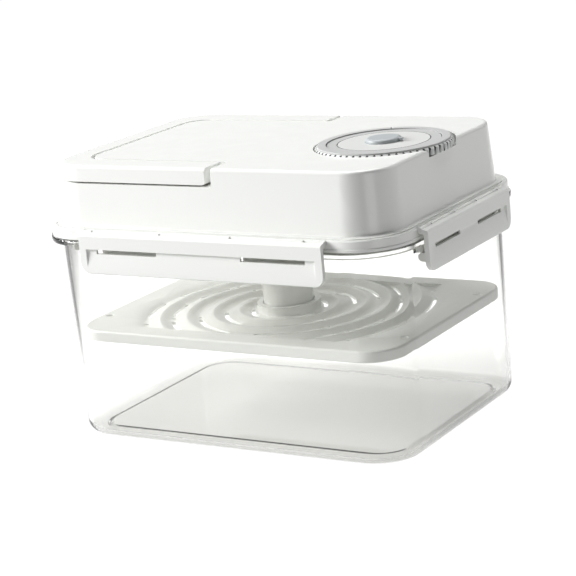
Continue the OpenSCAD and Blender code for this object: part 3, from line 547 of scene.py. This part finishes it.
# The lift tube with its gear, the bush that carries it, the wiper at its foot,
# and the stem's threaded follower inside it.
put(merged_copy("lift_tube"), "lift_tube_and_gear", 24, gear_plastic, "gear_resin", "lift", "lift_tube")
put(merged_copy("tube_bush"), "tube_bearing", 28, inner_plastic, "white_inner", "container", "tube_bush")
put(merged_copy("stem_wiper"), "stem_wiper_ring", 28, valve_rubber, "seal", "lift", "stem_wiper")
put(merged_copy("stem_follower"), "threaded_follower", 28, gear_plastic, "gear_resin", "press", "stem_follower")

# The press plate and its stem. White polypropylene, with ring valleys that drain through arc slots,
# and three screws from below that hold the stem in the plate's hub.
plate_plastic = moulded_white("satin_white_plate_polypropylene", "FAFBF8", 0.24, 8, 0.006)
put(merged_copy("press_plate"), "ringed_press_plate", 26, plate_plastic, "white_plate", "press", "press_plate")
put(merged_copy("press_stem"), "round_stem", 28, plate_plastic, "white_plate", "press", "press_stem")
put(merged_copy("plate_screws"), "hub_screws", 28, steel, "steel", "press", "plate_screws")

# The camera stands where the edges of the tub and lid in the photograph fit best.
VIEW_TURN = (33.05, 14.70, -5.81)
VIEW_TARGET = Vector((0, 0, 0.110))
VIEW_DISTANCE = 1.65966
VIEW_OFFSET = (-0.08 * MM, -2.86 * MM)
LENS = 122.886
FILM_WIDTH = 36


def camera_axes(azimuth, elevation, roll):
    """Right, up and backward directions of a camera turned round the object, raised, and rolled, in degrees."""
    a, e, r = (math.radians(x) for x in (azimuth, elevation, roll))
    back = Vector((math.sin(a) * math.cos(e), -math.cos(a) * math.cos(e), math.sin(e)))
    right = Vector((0, 0, 1)).cross(back).normalized()
    up = back.cross(right)
    return (
        math.cos(r) * right + math.sin(r) * up,
        -math.sin(r) * right + math.cos(r) * up,
        back,
    )


right, up, back = camera_axes(*VIEW_TURN)
camera = bpy.data.objects.new("camera", bpy.data.cameras.new("camera"))
camera.data.lens = LENS
camera.data.sensor_width = FILM_WIDTH
place = VIEW_TARGET + back * VIEW_DISTANCE + right * VIEW_OFFSET[0] + up * VIEW_OFFSET[1]
camera.matrix_world = Matrix.Translation(place) @ Matrix((right, up, back)).transposed().to_4x4()
bpy.context.scene.collection.objects.link(camera)
bpy.context.scene.camera = camera
bpy.context.scene.view_settings.view_transform = "Standard"

# The studio. A floor that is plain white to the camera and shows the lid's and plate's shade through the tub, with a
# painted shadow under the tub, and a white backdrop between dark flags at fixed places, which draw the clear tub's
# edges. A large soft box on the left, one above, a weak one on the right, and a lit card for the strip of light on the
# lid's corner.
FLOOR_SIZE = 6.0
FLOOR_GLOW = 0.72
WHITE_GLOW = 1.0
SEEN_SHARE = 0.04
SHADED_SHARE = 0.95
FULL_LIGHT = 0.95
THROUGH_GLOW = 1.06
FLAG_LEVEL = 0.12
CONTACT_SHADOW_LEVEL = 0.8
CONTACT_SHADOW_FADE = (0.97, 1.06)
CONTACT_X = 167 * MM
CONTACT_Y = 119 * MM
FLAG_SIDE = Vector((0.838, 0.545, 0))
FLOOR_LANE = (0.2, 0.45)
BACKDROP_LANE = (0.12, 0.3)
CEILING_RISE = (0.5, 0.75)
WHITE = (1, 1, 1, 1)
KEY_WATTS = 190.0
TOP_WATTS = 27.0
FILL_WATTS = 3.5
CARD_GLOW = 2.5
ROOM_GLOW = 0.06
LAMP_TARGET = Vector((0, 0, 0.12))
CARD_NEAR = (0.58, -0.62)
CARD_FAR = (0.72, -0.36)
CARD_HEIGHT = 0.5


def between_flags(tree, vector, clear, dark):
    """1 in the lane that runs past the object, falling to the level of the dark flags on its two sides.

    It falls from clear to dark, as the distance off the lane's axis, |vector . side|, grows.
    """
    lean = add_node(tree, "ShaderNodeVectorMath", {"operation": "DOT_PRODUCT", 1: FLAG_SIDE}, {0: vector})
    lean = add_node(tree, "ShaderNodeMath", {"operation": "ABSOLUTE"}, {0: lean.outputs["Value"]})
    level = add_node(
        tree,
        "ShaderNodeMapRange",
        {"interpolation_type": "SMOOTHSTEP", "From Min": dark, "From Max": clear, "To Min": FLAG_LEVEL},
        {"Value": lean.outputs[0]},
    )
    return level.outputs[0]


def floor_shader(tree, share, light):
    """A matt floor that also shines: share is its albedo, light the strength of its glow."""
    matt = add_node(tree, "ShaderNodeBsdfDiffuse", {"Color": (share, share, share, 1)})
    shine = add_node(tree, "ShaderNodeEmission", {"Color": WHITE, "Strength": light})
    return add_node(tree, "ShaderNodeAddShader", {}, {0: matt.outputs[0], 1: shine.outputs[0]}).outputs[0]


floor_material, tree, output = new_material("matt_white_studio_floor")
path = add_node(tree, "ShaderNodeLightPath")
unseen = floor_shader(tree, SEEN_SHARE, FLOOR_GLOW)
plain = floor_shader(tree, SEEN_SHARE, WHITE_GLOW)
place = add_node(tree, "ShaderNodeTexCoord")
lane = between_flags(tree, place.outputs["Object"], *FLOOR_LANE)
# Under the tub a painted shadow darkens the floor seen through the tub, where |x| / CONTACT_X and |y| / CONTACT_Y are
# both under 1.
sides = add_node(
    tree,
    "ShaderNodeVectorMath",
    {"operation": "MULTIPLY", 1: (1 / CONTACT_X, 1 / CONTACT_Y, 0)},
    {0: place.outputs["Object"]},
)
sides = add_node(tree, "ShaderNodeVectorMath", {"operation": "ABSOLUTE"}, {0: sides.outputs[0]})
sides = add_node(tree, "ShaderNodeSeparateXYZ", {}, {0: sides.outputs[0]})
off = add_node(tree, "ShaderNodeMath", {"operation": "MAXIMUM"}, {0: sides.outputs["X"], 1: sides.outputs["Y"]})
painted_contact_shadow = add_node(
    tree,
    "ShaderNodeMapRange",
    {
        "interpolation_type": "SMOOTHSTEP",
        "From Min": CONTACT_SHADOW_FADE[0],
        "From Max": CONTACT_SHADOW_FADE[1],
        "To Min": CONTACT_SHADOW_LEVEL,
    },
    {"Value": off.outputs[0]},
)
lane = add_node(tree, "ShaderNodeMath", {"operation": "MULTIPLY"}, {0: lane, 1: painted_contact_shadow.outputs[0]}).outputs[0]
shaded = floor_shader(tree, SHADED_SHARE, THROUGH_GLOW - SHADED_SHARE * FULL_LIGHT)
through = add_node(tree, "ShaderNodeMixShader", {}, {0: lane, 2: shaded}).outputs[0]
mix = add_node(tree, "ShaderNodeMixShader", {}, {0: path.outputs["Is Glossy Ray"], 1: unseen, 2: plain})
mix = add_node(
    tree, "ShaderNodeMixShader", {}, {0: path.outputs["Is Transmission Ray"], 1: mix.outputs[0], 2: through}
)
mix = add_node(tree, "ShaderNodeMixShader", {}, {0: path.outputs["Is Camera Ray"], 1: mix.outputs[0], 2: plain})
tree.links.new(mix.outputs[0], output.inputs["Surface"])
corners = [(-1, -1, 0), (1, -1, 0), (1, 1, 0), (-1, 1, 0)]
floor_mesh = bpy.data.meshes.new("studio_floor")
floor_mesh.from_pydata([Vector(c) * FLOOR_SIZE for c in corners], [], [(0, 1, 2, 3)])
floor_mesh.materials.append(floor_material)
floor = bpy.data.objects.new("studio_floor", floor_mesh)
bpy.context.scene.collection.objects.link(floor)

world = bpy.data.worlds.new("white_studio")
bpy.context.scene.world = world
world.use_nodes = True
tree = world.node_tree
tree.nodes.clear()
path = add_node(tree, "ShaderNodeLightPath")
toward = add_node(tree, "ShaderNodeTexCoord")
parts = add_node(tree, "ShaderNodeSeparateXYZ", {}, {0: toward.outputs["Generated"]})
ceiling = add_node(
    tree,
    "ShaderNodeMapRange",
    {
        "interpolation_type": "SMOOTHSTEP",
        "From Min": CEILING_RISE[1],
        "From Max": CEILING_RISE[0],
        "To Min": FLAG_LEVEL,
        "To Max": THROUGH_GLOW,
    },
    {"Value": parts.outputs["Z"]},
)
lane = between_flags(tree, toward.outputs["Generated"], *BACKDROP_LANE)
level = add_node(tree, "ShaderNodeMath", {"operation": "MULTIPLY"}, {0: ceiling.outputs[0], 1: lane})
room = add_node(tree, "ShaderNodeBackground", {"Color": WHITE, "Strength": ROOM_GLOW})
through = add_node(tree, "ShaderNodeBackground", {"Color": WHITE}, {"Strength": level.outputs[0]})
plain = add_node(tree, "ShaderNodeBackground", {"Color": WHITE, "Strength": WHITE_GLOW})
mix = add_node(
    tree,
    "ShaderNodeMixShader",
    {},
    {0: path.outputs["Is Transmission Ray"], 1: room.outputs[0], 2: through.outputs[0]},
)
mix = add_node(
    tree, "ShaderNodeMixShader", {}, {0: path.outputs["Is Camera Ray"], 1: mix.outputs[0], 2: plain.outputs[0]}
)
add_node(tree, "ShaderNodeOutputWorld", {}, {"Surface": mix.outputs[0]})


def around(azimuth, elevation, distance):
    """A place at an azimuth from the front towards the right and an elevation, both in degrees."""
    a, e = math.radians(azimuth), math.radians(elevation)
    return distance * Vector((math.sin(a) * math.cos(e), -math.cos(a) * math.cos(e), math.sin(e)))


def soft_lamp(name, place, width, height, watts):
    """A rectangular soft box at place, facing the middle of the object."""
    lamp = bpy.data.lights.new(name, "AREA")
    lamp.shape = "RECTANGLE"
    lamp.size = width
    lamp.size_y = height
    lamp.energy = watts
    holder = bpy.data.objects.new(name, lamp)
    holder.location = place
    holder.rotation_euler = (LAMP_TARGET - place).to_track_quat("-Z", "Y").to_euler()
    bpy.context.scene.collection.objects.link(holder)


soft_lamp("key_soft_box", around(-66, 27, 3.4), width=1.6, height=1.5, watts=KEY_WATTS)
soft_lamp("top_soft_box", around(190, 72, 1.9), width=1.3, height=1.0, watts=TOP_WATTS)
soft_lamp("right_soft_box", around(122, 25, 2.0), width=1.0, height=0.8, watts=FILL_WATTS)

card_material, tree, output = new_material("lit_white_card")
card_light = add_node(tree, "ShaderNodeEmission", {"Color": WHITE, "Strength": CARD_GLOW})
tree.links.new(card_light.outputs[0], output.inputs["Surface"])
card_mesh = bpy.data.meshes.new("standing_card")
card_corners = [(*CARD_FAR, 0.0), (*CARD_NEAR, 0.0), (*CARD_NEAR, CARD_HEIGHT), (*CARD_FAR, CARD_HEIGHT)]
card_mesh.from_pydata(card_corners, [], [(0, 1, 2, 3)])
card_mesh.materials.append(card_material)
card = bpy.data.objects.new("standing_card", card_mesh)
bpy.context.scene.collection.objects.link(card)
card.visible_camera = card.visible_diffuse = card.visible_transmission = card.visible_shadow = False
